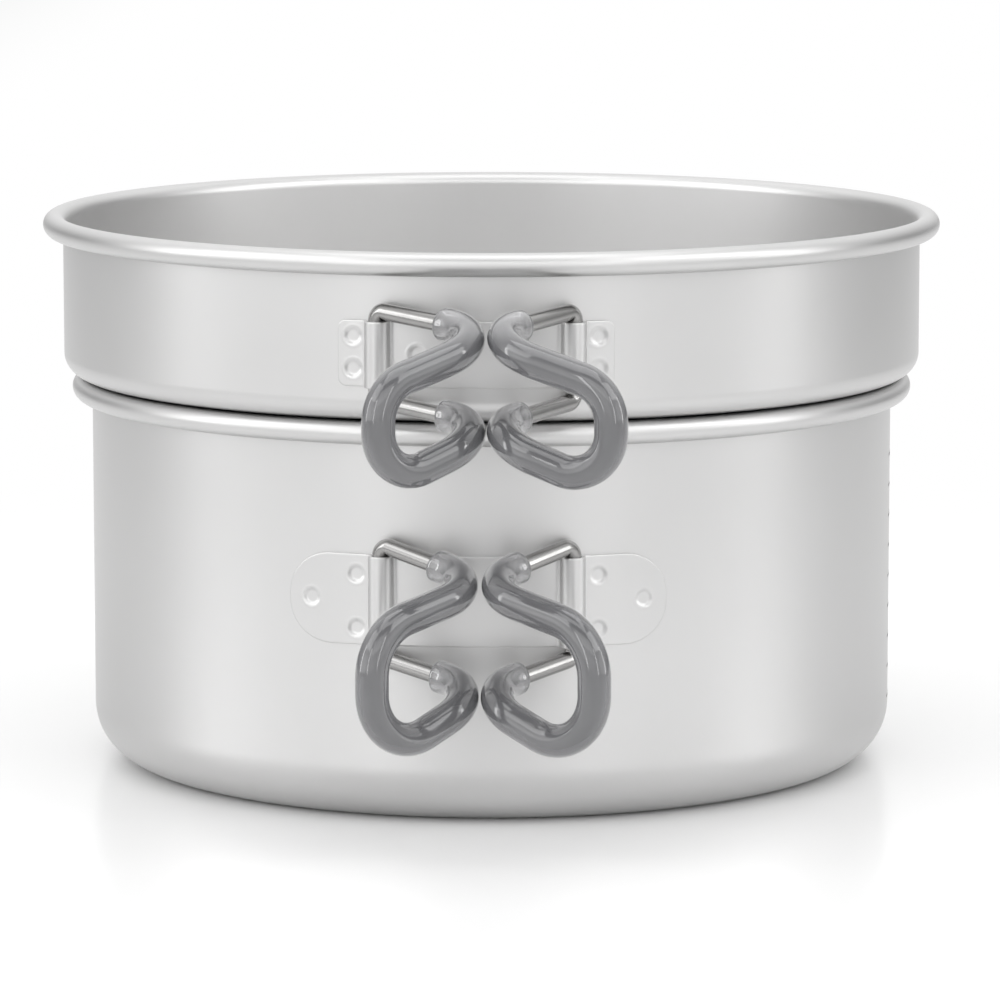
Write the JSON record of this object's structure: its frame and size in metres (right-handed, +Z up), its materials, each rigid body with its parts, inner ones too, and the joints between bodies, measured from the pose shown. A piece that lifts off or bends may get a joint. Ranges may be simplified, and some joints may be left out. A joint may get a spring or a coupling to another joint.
{
  "type": "cooking pot set",
  "caption": "Nesting camping cook set: a deep pot with a wide shallow pan standing on its rim, each with folding sleeved wire wing handles.",
  "frame": {"origin": "centre of the pot's underside, on the surface it stands on", "axes": "+Z up, the handles face -Y, +X is to the right when facing the handles from the front"},
  "size_m": [0.1678, 0.2008, 0.1029],
  "materials": {
    "vessel_titanium": "fine bead-blasted titanium, satin",
    "bracket_titanium": "smooth rolled titanium strip, satin",
    "handle_wire": "drawn wire, polished",
    "silicone_sleeve": "grey silicone rubber, slightly translucent, semi-gloss"
  },
  "bodies": {
    "pot": {"pot_shell": "vessel_titanium", "pot_hinge_bracket": "bracket_titanium"},
    "pot_left_wing": {"pot_left_wire": "handle_wire", "pot_left_sleeve": "silicone_sleeve"},
    "pot_right_wing": {"pot_right_wire": "handle_wire", "pot_right_sleeve": "silicone_sleeve"},
    "pan": {"pan_shell": "vessel_titanium", "pan_hinge_bracket": "bracket_titanium"},
    "pan_left_wing": {"pan_left_wire": "handle_wire", "pan_left_sleeve": "silicone_sleeve"},
    "pan_right_wing": {"pan_right_wire": "handle_wire", "pan_right_sleeve": "silicone_sleeve"}
  },
  "joints": [
    {"name": "pan_lift", "type": "slide", "parent": "pot", "child": "pan", "axis": [0, 0, 1], "range_m": [0, 0.12]},
    {"name": "pot_left_wing_fold", "type": "hinge", "parent": "pot", "child": "pot_left_wing", "pos_m": [-0.01695, -0.0747, 0.0406], "axis": [0, 0, -1], "range_deg": [0, 112.5]},
    {"name": "pot_right_wing_fold", "type": "hinge", "parent": "pot", "child": "pot_right_wing", "pos_m": [0.01695, -0.0747, 0.0406], "axis": [0, 0, 1], "range_deg": [0, 104.5]},
    {"name": "pan_left_wing_fold", "type": "hinge", "parent": "pan", "child": "pan_left_wing", "pos_m": [-0.0172, -0.07997, 0.08495], "axis": [0, 0, -1], "range_deg": [0, 114.5]},
    {"name": "pan_right_wing_fold", "type": "hinge", "parent": "pan", "child": "pan_right_wing", "pos_m": [0.0172, -0.07997, 0.08495], "axis": [0, 0, 1], "range_deg": [0, 99.5]}
  ]
}
